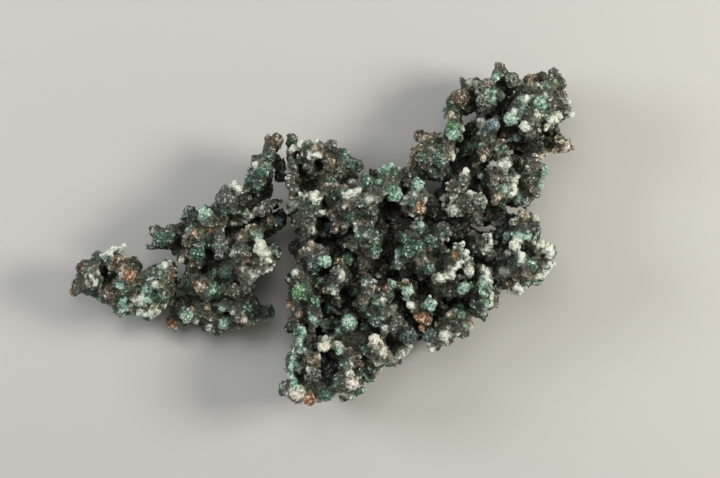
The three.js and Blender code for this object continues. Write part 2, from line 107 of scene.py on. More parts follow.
# What a knob is coated with: the crust's colour, how much of the oxide it hides, and how pale its grains are.
coats = {
    "oxide": ("#3a372e", 0.0, 0.0),
    "grey": ("#575950", 0.5, 0.1),
    "brown": ("#6b523d", 0.85, 0.1),
    "tan": ("#9e876b", 0.9, 0.5),
    "green": ("#30644c", 1.0, 0.08),
    "moss": ("#4f8a53", 1.0, 0.22),
    "teal": ("#2a4c47", 1.0, 0.08),
    "blue": ("#56757a", 1.0, 0.3),
    "mint": ("#72aa90", 1.0, 0.75),
    "pale": ("#e1e6d4", 0.95, 1.0),
    "cream": ("#eadfcd", 0.95, 1.0),
    "copper": ("#a86f3f", 0.9, 0.25),
}

# One dictionary for each limb. "mix" gives the shares of the coats on the knobs that grow anywhere, and
# "beaded" how readily those are round beads and not fine druse. The rest stands out in its own place:
# knobs (x, y, radius and sometimes height), ridges of small knobs along a path of (x, y), and in between
# pits (x, y, radius) and slots along a path, which are sunk and stay dark: mostly bare sooty oxide, painted
# darker as shade.
limbs = {
    "left_arm": {
        "seed": 1,
        "beaded": 0.3,
        "mix": {"oxide": 1.5, "grey": 3, "brown": 1.6, "green": 1.4, "teal": 0.4, "mint": 1.2, "pale": 1,
                "tan": 0.8},
        "knobs": {
            "copper": [(-44, -10, 1.2), (-45.5, -9, 0.7), (-59, -14, 0.7)],
            "brown": [(-58, -12, 1.4), (-55, -9, 1.2), (-49.5, -14, 1.7), (-34.5, -10, 1.4)],
            "tan": [(-54.5, -11.5, 0.9)],
            "pale": [(-45.5, -2.5, 0.7), (-38.5, -12, 0.9), (-41.5, -15.5, 1.4), (-36, -7.5, 0.9)],
            "mint": [(-46.5, -12.5, 0.9), (-45.5, -18.5, 0.7), (-46, -16, 1.2), (-40, -13, 1.2)],
            "green": [(-46, -16.5, 0.9), (-42.5, -13.5, 0.7), (-53, -6, 0.9)],
            "teal": [(-54, -14, 1.4), (-39.5, -10.5, 0.9)],
        },
        "ridges": {
            "pale": [[(-50.5, -5.5), (-49, -4.5), (-46.5, -3.5), (-45.5, -2.5)],
                     [(-42.5, -18), (-40.5, -19), (-38, -18)]],
            "mint": [[(-47, -18.5), (-45.5, -19), (-44, -18.5)], [(-41.5, -16), (-40, -15.5)]],
        },
        "pits": [(-40.5, -17, 0.7), (-49.5, -9, 0.9), (-49.5, -11, 0.9)],
        "slots": [],
    },
    "left_ridge": {
        "seed": 2,
        "beaded": 0.35,
        "mix": {"oxide": 2.6, "grey": 3, "brown": 1.2, "green": 2, "teal": 0.8, "mint": 0.5, "pale": 0.4,
                "tan": 0.4},
        "knobs": {
            "copper": [(-29, 0, 0.7), (-25.5, 1, 0.9)],
            "brown": [(-9.5, 22, 1.4), (-9, 19.5, 0.9), (-11, 19.5, 0.9), (-31, -2.5, 1.2)],
            "tan": [(-33.5, -7, 0.9), (-22, 4, 0.9)],
            "pale": [(-23, 1, 0.9), (-27, 3.5, 0.7), (-15, 16, 0.9), (-12, 16.5, 0.7)],
            "mint": [(-14.5, 11, 0.7), (-26.5, 5, 1.4)],
            "moss": [(-27.5, 0.5, 0.7)],
            "green": [(-37, -1.5, 1.7), (-28.5, -4, 1.4), (-12.5, 14.5, 1.4), (-16.5, 12.5, 1.2)],
            "teal": [(-19.5, 7, 0.9)],
            "grey": [(-21.5, 8.5, 2.1), (-35, 1, 1.2), (-30.5, 5.5, 1.2), (-12, 7, 1.2), (-16.5, 8.5, 0.9)],
        },
        "ridges": {
            "pale": [[(-20.5, 2.5), (-18.5, 3), (-17, 3.5), (-15, 5), (-13.5, 6)],
                     [(-20.5, 11.5), (-19, 11), (-18.5, 10)]],
        },
        "pits": [(-18, 6.5, 1.2)],
        "slots": [[(-23, 0.5), (-20.5, 0.5), (-18, 1)], [(-31.5, 2.5), (-32, 0.5)]],
    },
    "lower_left_lobe": {
        "seed": 3,
        "beaded": 0.35,
        "mix": {"oxide": 3, "grey": 3, "brown": 0.8, "green": 2.4, "teal": 0.6, "mint": 0.5, "pale": 0.4,
                "tan": 0.3},
        "knobs": {
            "copper": [(-35, -21.5, 1.2), (-34, -23, 0.9)],
            "tan": [(-34.5, -22.5, 0.7), (-18.5, -1, 0.9), (-26.5, -17.5, 0.9), (-29.5, -23.5, 0.9),
                    (-18.5, -23, 0.9), (-28, -12.5, 1.2)],
            "pale": [(-22, -2, 0.9), (-15, -9.5, 1.2), (-26, -22, 0.7), (-20, -4.5, 0.7), (-13.5, -2.5, 1.2),
                     (-12.5, -5, 1.2)],
            "mint": [(-31.5, -19.5, 1.4), (-23, -18, 0.9), (-14, -1, 0.9), (-22.5, -21.5, 1.2),
                     (-25, -13.5, 0.9)],
            "green": [(-21.5, -9, 1.4), (-24.5, -9, 0.9), (-16.5, -17.5, 1.4), (-31.5, -15.5, 0.9),
                      (-29, -4, 1.7)],
            "teal": [(-7.5, 2, 1.2)],
            "grey": [(-17.5, -13, 1.4), (-13, -19.5, 1.2), (-11.5, -21, 0.9), (-22.5, -4.5, 1.4),
                     (-20, -13.5, 1.7)],
        },
        "ridges": {
            "pale": [[(-14.5, -2), (-13.5, -4), (-12, -5.5), (-11.5, -7), (-12, -8.5)]],
            "tan": [[(-16.5, 1.5), (-14.5, 2)]],
        },
        "pits": [(-33, -14, 1.4), (-31.5, -14.5, 0.9), (-25, -16, 0.7)],
        "slots": [[(-25, -4), (-26, -6.5), (-27, -9)]],
    },
    "centre": {
        "seed": 4,
        "beaded": 0.3,
        "mix": {"oxide": 3.2, "grey": 3.4, "brown": 1.2, "green": 1.6, "teal": 0.6, "mint": 0.3, "pale": 0.5,
                "tan": 0.6},
        "knobs": {
            "brown": [(1.5, 13, 1.4), (2, 11, 0.9)],
            "tan": [(0, 18.5, 0.7)],
            "pale": [(-6, 20, 0.9), (-3, 16, 0.9), (11, -0.5, 0.7), (12, 8, 0.9), (8.5, 2.5, 0.7),
                     (1, 5, 0.7), (8, 12, 0.9), (-1.5, 1, 0.9), (-1, 3.5, 0.7), (18.5, 11, 0.9)],
            "mint": [(17, 16, 0.7), (13, 11, 0.9), (17.5, 9.5, 1.7, 22)],
            "green": [(13, -4, 1.4), (6, 18.5, 1.2), (7.5, 16.5, 1.2), (2.5, 2, 1.2), (7.5, 4, 1.2),
                      (11.5, 12, 1.2)],
            "grey": [(-5.5, 10.5, 1.2), (3, 20.5, 1.2), (5, 15, 1.9), (-2.5, 2.5, 1.4), (11.5, 2.5, 1.7)],
        },
        "ridges": {
            "pale": [[(-4, 9), (-2, 8.5), (0, 8)], [(6.5, 8.5), (8.5, 9.5), (9.5, 10)],
                     [(-2.5, 18), (-1, 18.5), (0.5, 18)], [(-4, 20.5), (-2.5, 21.5), (-0.5, 22)],
                     [(-8.5, 5), (-7.5, 6), (-6, 6)]],
            "mint": [[(14.5, 14.5), (16, 15), (17, 16)]],
            "grey": [[(-6, 15.5), (-6.5, 12.5), (-6, 10)]],
        },
        "pits": [(0.5, 15.5, 1.2), (-0.5, 14.5, 0.9), (-2.5, 11.5, 1.4), (-1.5, 10.5, 0.9), (-5, 9, 0.7),
                 (7.5, 7, 1.2), (8.5, 5.5, 0.9), (16.5, 6, 1.4), (17, 3.5, 1.7), (17.5, 1.5, 1.4),
                 (15.5, -5, 1.2)],
        "slots": [],
    },
    "lower_lobe": {
        "seed": 5,
        "beaded": 0.5,
        "mix": {"oxide": 3, "grey": 3, "brown": 1, "green": 1.8, "teal": 0.6, "mint": 0.5, "pale": 0.5,
                "tan": 0.4},
        "knobs": {
            "copper": [(-2, -38.5, 1.4), (-7, -17.5, 0.9), (16, -12.5, 0.9)],
            "brown": [(9.5, -30.5, 1.2), (1.5, -13.5, 0.9), (-4.5, -19, 0.9)],
            "tan": [(4.5, -7, 1.2), (-1.5, -3, 0.9), (16.5, -31, 0.9), (-5.5, -40, 0.7)],
            "pale": [(-5.5, -9, 0.9), (4.5, -25.5, 0.7), (5.5, -9.5, 0.9), (10.5, -12, 0.7), (13, -11.5, 0.9),
                     (14, -10, 0.7), (7, -32.5, 0.7), (21.5, -27, 0.9), (15.5, -22, 0.7), (18.5, -29, 0.9)],
            "cream": [(1.5, -26.5, 1.2), (0, -28.5, 0.7), (13, -24.5, 1.2), (8, -35, 1.2), (-0.5, -33, 0.7),
                      (-3, -33.5, 0.7), (-5, -37.5, 1.7)],
            "mint": [(1.5, -6.5, 1.4), (7.5, -20.5, 1.5), (5, -22.5, 0.9), (-1.5, -20, 0.9), (0.5, -11, 0.9),
                     (4.5, -27.5, 0.9), (17.5, -11.5, 0.7), (-5.5, -30.5, 0.9), (-4, -24, 0.9)],
            "moss": [(-4, -13.5, 1.4), (-5, -15, 0.9)],
            "green": [(2.5, -17.5, 1.2), (0.5, -9, 1.2), (-1, -15.5, 1.2), (10.5, -22, 1.2),
                      (-5.5, -15.5, 0.9), (6, -37.5, 0.9), (12.5, -32, 1.2), (11, -27.5, 1.2),
                      (7, -4.5, 1.4)],
            "teal": [(21.5, -23.5, 1.9), (11.5, -21.5, 0.9)],
            "grey": [(1.5, -29.5, 1.7), (2.5, -31.5, 1.7), (2.5, -33, 1.4), (12, -14.5, 1.7),
                     (18, -20.5, 1.4)],
        },
        "ridges": {
            "cream": [[(12.5, -24), (14, -25.5), (15, -28)]],
            "pale": [[(18.5, -29), (20.5, -27.5), (22, -26.5)], [(0.5, -39.5), (2, -39.5)]],
            "mint": [[(-4.5, -21.5), (-4, -24), (-4.5, -26.5), (-5, -28.5)],
                     [(-6, -31), (-6.5, -33.5), (-5.5, -35.5)]],
            "tan": [[(-1.5, -2.5), (-3.5, -4.5), (-5, -6.5)]],
        },
        "pits": [(6, -14, 1.4), (7.5, -16.5, 1.7), (5.5, -18, 1.2), (17.5, -25.5, 1.4), (4, -35.5, 0.7),
                 (10.5, -31.5, 0.7), (4, -4.5, 1.2), (5.5, -5.5, 0.9)],
        "slots": [[(-3.5, -6.5), (-2.5, -9), (-1.5, -12), (0, -15)],
                  [(-3.5, -16.5), (-3, -19.5), (-2.5, -22.5)], [(2.5, -20), (3, -22.5)],
                  [(8.5, -6.5), (8.5, -9), (8, -11)]],
    },
    "right_lobe": {
        "seed": 6,
        "beaded": 0.45,
        "mix": {"oxide": 3.4, "grey": 3.2, "brown": 1, "green": 1.8, "teal": 0.6, "mint": 0.4, "pale": 0.4,
                "tan": 0.4},
        "knobs": {
            "copper": [(24, -20, 1.3, 20), (24, -22, 0.9, 18.5), (31.5, -5, 0.9)],
            "brown": [(21.5, -18, 1.4), (25.5, -20.5, 1.2, 18.5), (28, -21.5, 1.2), (38.5, -2, 0.9)],
            "tan": [(35, -8, 0.9), (30.5, -19, 0.9), (36, -20.5, 0.9), (20.5, -11.5, 0.9)],
            "pale": [(21.5, -16.5, 0.9), (30, -1.5, 0.7), (27, -8.5, 0.5), (34.5, -12, 0.7),
                     (32.5, -23.5, 0.9), (29.5, -24, 1.2), (42, -13, 0.9), (35.5, -22, 0.9)],
            "mint": [(21, -13.5, 1.2), (25.5, -16, 0.9), (30, -4.5, 0.9), (33.5, -19, 1.2), (34, -13, 1.4)],
            "moss": [(33.5, -17.5, 0.9)],
            "green": [(21, -4.5, 1.7), (20, -1.5, 1.2), (26, -8.5, 1.2), (26, -1.5, 1.2)],
            "teal": [(25.5, -24, 1.4)],
            "grey": [(26, 2.5, 1.9), (31.5, -13.5, 1.2), (28.5, 1.5, 1.4), (37.5, -4, 1.2)],
        },
        "ridges": {
            "pale": [[(28, -10.5), (30.5, -10), (32, -8), (33.5, -6.5), (35, -7.5), (35.5, -10)],
                     [(32.5, -2.5), (34, -3.5), (34.5, -6)], [(39.5, 1), (40.5, -1), (40, -3), (38.5, -4)],
                     [(38, -8), (39, -9.5), (39.5, -11.5)], [(40, -14), (40, -16.5)]],
            "mint": [[(38, -10), (38.5, -13.5), (39.5, -15.5), (39, -18.5)],
                     [(25.5, -15.5), (26.5, -16.5), (26, -18.5)]],
        },
        "pits": [(33, -10, 1.4), (31.5, -10.5, 0.9), (30, -17, 1.7), (28.5, -18, 1.2), (25.5, -13.5, 1.4),
                 (24, -14, 0.9), (27.5, -18.5, 0.9), (34, 0.5, 1.4), (35.5, -1.5, 1.2), (37, -6.5, 1.2),
                 (39, -7, 0.9)],
        "slots": [[(40.5, -6.5), (41, -9), (41.5, -11)]],
    },
    "right_knob": {
        "seed": 7,
        "beaded": 0.45,
        "mix": {"oxide": 1.6, "grey": 2.4, "brown": 1.2, "green": 1.4, "teal": 0.3, "mint": 1.2, "pale": 1.4,
                "tan": 0.6},
        "knobs": {
            "brown": [(46, -10, 1.4), (44.5, -11.5, 1.2)],
            "tan": [(48, 4.5, 1.2)],
            "pale": [(46.5, -1.5, 1.2), (45.5, -3, 1.2), (44.5, -4.5, 0.9), (47, -5, 0.9), (47, -6.5, 0.7),
                     (53.5, -3.5, 1.2), (54, -7, 1.2), (51, 3.5, 0.9), (51.5, -10, 0.9)],
            "mint": [(51.5, 0.5, 0.9), (46.5, -0.5, 0.9), (49, -11.5, 0.7), (49, -0.5, 0.9)],
            "green": [(50.5, -8.5, 0.9)],
            "teal": [(43.5, -5.5, 1.2)],
            "grey": [(42.5, -0.5, 1.2)],
        },
        "ridges": {
            "pale": [[(50, -2), (52, -2.5), (54, -4.5), (54, -6.5), (53, -9), (50.5, -10.5)],
                     [(48.5, -12.5), (47, -14), (45, -13.5)]],
            "mint": [[(45.5, -0.5), (47.5, -0.5), (49, 0)]],
        },
        "pits": [(49.5, -5.5, 0.9), (52, -5.5, 0.7), (47, -8.5, 0.7)],
        "slots": [],
    },
    "upper_right_arm": {
        "seed": 8,
        "beaded": 0.45,
        "mix": {"oxide": 3.2, "grey": 3.2, "brown": 1.4, "green": 1.6, "teal": 0.6, "mint": 0.4, "pale": 0.6,
                "tan": 0.5},
        "knobs": {
            "copper": [(50.5, 36.5, 1.3), (23.5, 6, 1.2), (41, 22.5, 0.7)],
            "brown": [(33.5, 32, 1.9), (42, 39.5, 0.9), (39.5, 35, 1.2), (55, 34, 0.9), (41.5, 13, 1.4),
                      (25, 16, 1.4), (22.5, 19, 1.2), (23.5, 17.5, 1.2)],
            "tan": [(43.5, 23, 0.9), (48.5, 20.5, 0.9), (44.5, 26.5, 0.9)],
            "pale": [(48.5, 31.5, 0.9), (57.5, 31, 1.2), (59.5, 28, 0.9), (55.5, 27.5, 1.2), (51, 27.5, 0.9),
                     (48, 25, 1.2), (45.5, 28.5, 0.9), (55, 30, 0.7), (37.5, 35.5, 0.7), (35.5, 35.5, 0.7),
                     (37, 27, 0.9), (34.5, 14.5, 0.9), (22.5, 9, 0.7), (26.5, 8, 0.7), (58, 20.5, 0.9),
                     (34, 11, 0.7), (47.5, 17, 0.7)],
            "mint": [(31.5, 23, 1.2), (23.5, 11.5, 1.2), (41.5, 36.5, 0.9), (41, 33, 0.7), (51.5, 30.5, 1.2),
                     (53.5, 36.5, 0.7), (44.5, 18, 0.9)],
            "moss": [(31.5, 25, 1.4)],
            "green": [(28, 17.5, 1.9), (30, 15, 1.7), (26, 15, 1.4), (43, 19.5, 1.2), (42.5, 7, 0.9),
                      (56.5, 22, 0.9), (37.5, 6.5, 1.2), (40, 11.5, 0.9)],
            "teal": [(33.5, 12, 1.2)],
            "blue": [(41, 25, 1.4), (47.5, 28, 0.9)],
            "grey": [(39, 31, 1.9), (45.5, 36.5, 1.7), (55, 37.5, 1.2), (48.5, 7, 1.2), (39, 21.5, 1.4),
                     (49.5, 12.5, 1.2), (37, 7, 1.9)],
        },
        "ridges": {
            "pale": [[(40, 16), (41.5, 16.5), (43.5, 16), (45, 15), (46, 13), (45.5, 11), (45, 9)],
                     [(38.5, 14), (39.5, 14.5)], [(50.5, 23.5), (52.5, 24.5), (54, 26), (56, 27)],
                     [(20.5, 8), (20.5, 6), (21.5, 4), (24, 4), (25.5, 6), (25.5, 8.5)],
                     [(25, 10), (26, 8), (28, 7.5)], [(29.5, 8), (32, 8.5)], [(35.5, 9), (38, 8.5), (39, 7)]],
            "mint": [[(45.5, 22.5), (47.5, 22.5)], [(52.5, 15.5), (52.5, 13), (52, 11)]],
            "tan": [[(55, 22.5), (57.5, 21.5), (58, 20), (56.5, 19.5), (54.5, 18.5), (52.5, 17.5), (51, 17)],
                    [(37, 16), (39, 17), (41, 18)], [(24.5, 22), (26, 22.5), (27.5, 23.5)],
                    [(21, 15.5), (22.5, 17.5), (24, 19.5)]],
        },
        "pits": [(37, 12.5, 1.2), (38, 11, 1.2), (34, 19.5, 1.4), (34, 18, 1.2), (35, 22, 1.2),
                 (42, 30.5, 0.9), (42, 28, 1.2), (45.5, 19.5, 1.2), (47, 20, 0.9), (53.5, 21.5, 0.9),
                 (43, 18, 0.7), (35, 9.5, 0.9), (28, 10, 1.2)],
        "slots": [[(36.5, 32), (36.5, 28.5)], [(46.5, 21.5), (49.5, 22), (52, 21.5)]],
    },
}


def along(path, step):
    # places about a step apart along a path
    for (ax, ay), (bx, by) in zip(path, path[1:]):
        count = max(1, round(math.hypot(bx - ax, by - ay) / step))
        for i in range(count):
            yield ax + (bx - ax) * i / count, ay + (by - ay) * i / count
    yield path[-1]


# The hollows in the top of a limb.
hollow = {
    "pitDepth": 1.8,  # in radii
    "slotDepth": 2.4,
    "slotRadius": 0.9,
    "slotStep": 0.5,
    "deepest": 0.65,  # a hollow takes at most this share of the limb's thickness
    "skin": 0.05,  # the thickness is read from this far under the surface
    "rim": 1.25,  # where the slope of a hollow starts, in radii
    "roundness": 3,  # a higher power gives a flatter floor and steeper walls
    "reach": 0.6,  # only the upper part of the thickness goes down, by this share,
    "facing": -0.1,  # and only where it faces up, or down by no more than this
}


def hollowsOf(settings):
    # every pit, and the slots as rows of them: x, y, radius, and depth in radii
    hollows = [(x * mm, y * mm, radius * mm, hollow["pitDepth"]) for x, y, radius in settings["pits"]]
    for path in settings["slots"]:
        for x, y in along(path, hollow["slotStep"]):
            hollows.append((x * mm, y * mm, hollow["slotRadius"] * mm, hollow["slotDepth"]))
    return hollows


def sinkHollows(limb, hollows):
    # the upper surface goes down over each hollow, and no deeper than the limb allows
    bare = BVHTree.FromObject(limb, bpy.context.evaluated_depsgraph_get())
    points, normals = pointsOf(limb.data), normalsOf(limb.data)
    sunk = np.zeros(len(points))
    for x, y, radius, depth in hollows:
        top = bare.ray_cast(Vector((x, y, aloft * mm)), down)[0]
        if top is None:
            continue
        floor = bare.ray_cast(top + down * hollow["skin"] * mm, down)[0]
        if floor is None:
            continue
        thickness = top.z - floor.z
        depth = min(depth * radius, hollow["deepest"] * thickness)
        gap = np.hypot(points[:, 0] - x, points[:, 1] - y) / (hollow["rim"] * radius)
        near = (gap < 1) & (normals[:, 2] > hollow["facing"])
        near &= points[:, 2] > top.z - hollow["reach"] * thickness
        sunk = np.maximum(sunk, np.where(near, depth * (1 - gap ** hollow["roundness"]), 0))
    points[:, 2] -= sunk
    setPoints(limb.data, points)


# The limb before anything grows on it.
bareSettings = {
    "mergeGap": 0.01,
    "cuts": 2,  # cuts across each edge, so that a hollow has corners to move
    "drawIn": 0.45,  # it shrinks by this, so that its crust stays in its space
    "restHeight": 0.05,  # a corner under this height lies on the ground, and is drawn in only sideways
    "forkGap": 0.45,  # a corner this near the next limb lies on the fork
    "forkReach": 0.75,  # it moves this far towards that limb, so no seam shows
}


def bareLimb(name, hollows):
    # the bare limb, and which of its corners lie on a fork
    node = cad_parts[name]
    limb = bpy.data.objects.new(name + "_crust", node.data.copy())
    bpy.context.scene.collection.objects.link(limb)
    makeActive(limb)
    bpy.ops.object.mode_set(mode="EDIT")
    bpy.ops.mesh.select_all(action="SELECT")
    bpy.ops.mesh.remove_doubles(threshold=bareSettings["mergeGap"] * mm)
    bpy.ops.mesh.subdivide(number_cuts=bareSettings["cuts"])
    bpy.ops.mesh.quads_convert_to_tris()
    bpy.ops.object.mode_set(mode="OBJECT")
    neighbours = treeOf([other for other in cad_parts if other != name])
    points, normals = pointsOf(limb.data), normalsOf(limb.data)
    onFork = np.zeros(len(points), bool)
    for i, point in enumerate(points):
        place = neighbours.find_nearest(Vector(point), bareSettings["forkGap"] * mm)[0]
        if place is not None:
            towards = (place - Vector(point)).normalized()
            points[i] += np.array(towards) * bareSettings["forkReach"] * mm
            onFork[i] = True
    atRest = points[:, 2] < bareSettings["restHeight"] * mm
    drawn = normals * bareSettings["drawIn"] * mm
    drawn[atRest, 2] = 0
    points[~onFork] -= drawn[~onFork]
    setPoints(limb.data, points)
    sinkHollows(limb, hollows)
    return limb, onFork


def onBall(step, rise, normal):
    # a place on a unit ball whose pole is the normal: each step turns by the golden angle
    angle = step * math.pi * goldenShare
    flat = math.sqrt(1 - rise * rise)
    return normal.to_track_quat("Z", "Y") @ Vector((flat * math.cos(angle), flat * math.sin(angle), rise))


# How much of the sky a place sees: rays go out from a little over it, and look this far.
sky = {"rays": 16, "lift": 1.2, "reach": 14}


def openness(place, normal, specimen):
    # the share of the sky over a place that no other part of the specimen hides
    start = place + normal * sky["lift"] * mm
    seen = 0
    for step in range(sky["rays"]):
        ray = onBall(step, (step + 0.5) / sky["rays"], normal)
        if specimen.ray_cast(start, ray, sky["reach"] * mm)[0] is None:
            seen += 1
    return seen / sky["rays"]


# A bed holds the knobs of a limb, each as centre, radius, coat and openness, and for speed the cells of
# space that they lie in. No two knobs that could crowd each other are more than a cell apart.
bedSettings = {
    "seed": 7,
    "cell": 3.6,
    "apart": 0.74,  # two knobs stay this share of their radii's sum apart
}


def cellOf(centre):
    return tuple(int(math.floor(c / (bedSettings["cell"] * mm))) for c in centre)


def crowded(bed, centre, radius):
    homeX, homeY, homeZ = cellOf(centre)
    for dx, dy, dz in product((-1, 0, 1), repeat=3):
        for other, otherRadius in bed["cells"].get((homeX + dx, homeY + dy, homeZ + dz), ()):
            if (other - centre).length < bedSettings["apart"] * (otherRadius + radius):
                return True
    return False


def keep(bed, centre, radius, coat, seen):
    bed["cells"].setdefault(cellOf(centre), []).append((centre, radius))
    bed["knobs"].append((centre, radius, coat, seen))


# A knob of at least this radius is a cluster, with small grapes all over it down to where it is buried.
cluster = {
    "least": 1.15,
    "crowd": 9,  # grapes on a knob of one millimetre, and more on a larger one, as its surface grows
    "cover": 1.5,  # how far down from its top they go, in its radii
    "grapes": (0.4, 0.62),  # least and most radius
    "seat": 0.3,  # how deep a grape sits in the knob, in its own radii
}


def keepCluster(bed, draw, centre, radius, coat, seen, normal):
    keep(bed, centre, radius, coat, seen)
    if radius < cluster["least"] * mm:
        return
    count = int(cluster["crowd"] * (radius / mm) ** 2)
    turn = draw.random()
    for i in range(count):
        out = onBall(i + turn, 1 - cluster["cover"] * (i + 0.5) / count, normal)
        small = draw.uniform(*cluster["grapes"]) * mm
        bed["knobs"].append((centre + out * (radius - cluster["seat"] * small), small, coat, seen))


# The knobs that stand out. The middle of one lies under the surface by a share of its radius.
placed = {
    "smallSeat": 0.25,
    "largeSeat": 0.45,  # from the large radius on
    "large": 1.3,
    "offHeight": 18,  # one off the limb goes to what is nearest to it at this height
}

# Where such a knob would lie in a hollow of the solid, a stalk of sooty balls lifts it.
stalk = {
    "ring": 2.5,  # the height around it is read this far off,
    "ways": 8,  # in so many directions,
    "lower": 3,  # and so many of them may be lower than the height it takes
    "below": 0.8,  # it aims this far under that height,
    "slack": 0.8,  # and may end this far under its aim
    "radius": 0.9,  # in the knob's radii, as is the step from ball to ball
    "step": 0.8,
    "open": 0.4,
}

# A crest is a row of small knobs, each with a smaller one that leans out of it.
crest = {
    "step": 0.6,
    "stray": 0.4,
    "base": (0.48, 0.86),  # least and most radius
    "seat": 0.25,  # how far a base stands over the surface, in its radii
    "lean": 0.4,
    "reach": 1.1,  # how far the smaller knob stands out, in the base's radii
    "top": (0.34, 0.58),
}


def topAt(bare, x, y):
    # the top of the limb at a place, or what is nearest to it if the place is off the limb
    place, normal, _, _ = bare.ray_cast(Vector((x * mm, y * mm, aloft * mm)), down)
    if place is None:
        place, normal, _, _ = bare.find_nearest(Vector((x * mm, y * mm, placed["offHeight"] * mm)))
    return place, normal


def stalkTop(bed, bare, x, y, place, radius, height):
    # grows a stalk from the place to its own height, or almost to the height around it
    around = []
    for turn in range(stalk["ways"]):
        angle = turn * 2 * math.pi / stalk["ways"]
        far = (x + stalk["ring"] * math.cos(angle), y + stalk["ring"] * math.sin(angle), aloft)
        top = bare.ray_cast(Vector(far) * mm, down)[0]
        around.append(top.z if top else 0)
    aim = sorted(around)[stalk["lower"]] - stalk["below"] * mm
    if height:
        aim = height[0] * mm
    while place.z < aim - stalk["slack"] * mm:
        keep(bed, place, stalk["radius"] * radius * mm, "oxide", stalk["open"])
        place = place + Vector((0, 0, stalk["step"] * radius * mm))
    return place


def placeKnobs(bed, draw, bare, settings):
    # the knobs and crests that stand out, wholly open to the sky
    for coat in coats:
        for x, y, radius, *height in settings["knobs"].get(coat, ()):
            place, normal = topAt(bare, x, y)
            place = stalkTop(bed, bare, x, y, place, radius, height)
            seat = placed["smallSeat"] if radius < placed["large"] else placed["largeSeat"]
            keepCluster(bed, draw, place - normal * radius * seat * mm, radius * mm, coat, 1, normal)
    stray, leaning = crest["stray"], crest["lean"]
    for coat, paths in settings["ridges"].items():
        for path in paths:
            for x, y in along(path, crest["step"]):
                place, normal = topAt(bare, x + draw.uniform(-stray, stray), y + draw.uniform(-stray, stray))
                base = draw.uniform(*crest["base"]) * mm
                keep(bed, place + normal * crest["seat"] * base, base, coat, 1)
                lean = normal + Vector([draw.uniform(-leaning, leaning) for _ in range(3)])
                tip = place + lean.normalized() * crest["reach"] * base
                keep(bed, tip, draw.uniform(*crest["top"]) * mm, coat, 1)


# The knobs that grow anywhere.
scatter = {
    "tries": 1.9,  # places tried for each square millimetre
    "lowest": 0.3,  # nothing grows under this height
    "beads": [(0.35, 0.6, 0.85), (0.45, 0.85, 1.2), (0.2, 1.2, 1.6)],  # share, least, most radius
    "druse": [(0.75, 0.45, 0.65), (0.2, 0.65, 1.0), (0.05, 1.0, 1.5)],
    "beadPatch": 9,  # beads and druse take turns in patches this wide
    "beadStart": (2.2, 6.1),  # where the pattern of those patches is read from
    "beadLevel": 0.5,  # what it has to pass, with the limb's own "beaded" added, for beads
    "coatPatch": 9,  # each coat comes in patches of its own
    "coatStart": (3.1, 7.7, 1.9),
    "coatStride": 5.3,
    "patchiness": 5,  # how strongly each coat keeps to its patches
    "leastCoat": 0.05,  # what is left of it between them
    "hollowRadius": 0.6,  # the most in a hollow
    "hollowOpen": 0.2,  # how much of the sky a hollow leaves
    "shade": 0.4,  # where less of the sky shows, knobs stay bare,
    "bareShare": 0.75,  # by this share of them
    "seat": (0.1, 0.6),  # how deep a knob's middle lies, in its radii
    "budShare": 0.12,  # knobs that carry a smaller knob further out
    "budLean": 0.6,
    "budReach": 0.6,  # in the knob's radii, as is the bud's own radius
    "bud": (0.55, 0.8),
}


def coatFor(draw, place, mix):
    startX, startY, startZ = scatter["coatStart"]
    weights = []
    for i, share in enumerate(mix.values()):
        start = Vector((startX + scatter["coatStride"] * i, startY, startZ))
        patch = noise.noise(place / (scatter["coatPatch"] * mm) + start)
        weights.append(share * max(scatter["leastCoat"], 1 + scatter["patchiness"] * patch))
    return draw.choices(list(mix), weights)[0]


def radiusFor(draw, place, settings):
    start = Vector((settings["seed"], *scatter["beadStart"]))
    patch = noise.noise(place / (scatter["beadPatch"] * mm) + start)
    sizes = scatter["beads"] if patch + settings["beaded"] > scatter["beadLevel"] else scatter["druse"]
    roll = draw.random()
    for share, least, most in sizes:
        if roll < share:
            break
        roll -= share
    return draw.uniform(least, most) * mm


def scatterPlaces(draw, limb, onFork):
    # random places spread evenly over a limb, but not on its forks, each with the normal there
    faces = [tuple(face.vertices) for face in limb.data.polygons]
    faces = [face for face in faces if not all(onFork[i] for i in face)]
    corners = pointsOf(limb.data).astype(float)[np.array(faces)]
    crosses = np.cross(corners[:, 1] - corners[:, 0], corners[:, 2] - corners[:, 0])
    lengths = np.linalg.norm(crosses, axis=1)
    normals = crosses / np.maximum(lengths, 1e-12)[:, None]
    reach = np.cumsum(lengths / 2)
    tries = int(reach[-1] / mm / mm * scatter["tries"])
    for pick in np.searchsorted(reach, [draw.random() * reach[-1] for _ in range(tries)]):
        u, v = draw.random(), draw.random()
        if u + v > 1:
            u, v = 1 - u, 1 - v
        a, b, c = corners[pick]
        yield Vector(a + (b - a) * u + (c - a) * v), Vector(normals[pick])


def scatterKnobs(bed, draw, limb, onFork, settings, hollows, specimen):
    for place, normal in scatterPlaces(draw, limb, onFork):
        radius = radiusFor(draw, place, settings)
        if place.z < scatter["lowest"] * mm or crowded(bed, place, radius):
            continue
        seen = openness(place, normal, specimen)
        if any(math.hypot(place.x - x, place.y - y) < pitRadius for x, y, pitRadius, _ in hollows):
            radius, seen = min(radius, scatter["hollowRadius"] * mm), scatter["hollowOpen"] * seen
        coat = coatFor(draw, place, settings["mix"])
        if seen < scatter["shade"] and draw.random() < scatter["bareShare"]:
            coat = "oxide"
        centre = place - normal * radius * draw.uniform(*scatter["seat"])
        keepCluster(bed, draw, centre, radius, coat, seen, normal)
        if draw.random() < scatter["budShare"] * seen:
            most = scatter["budLean"]
            lean = (normal + Vector([draw.uniform(-most, most) for _ in range(3)])).normalized()
            bud = place + lean * radius * scatter["budReach"]
            keep(bed, bud, radius * draw.uniform(*scatter["bud"]), coat, seen)


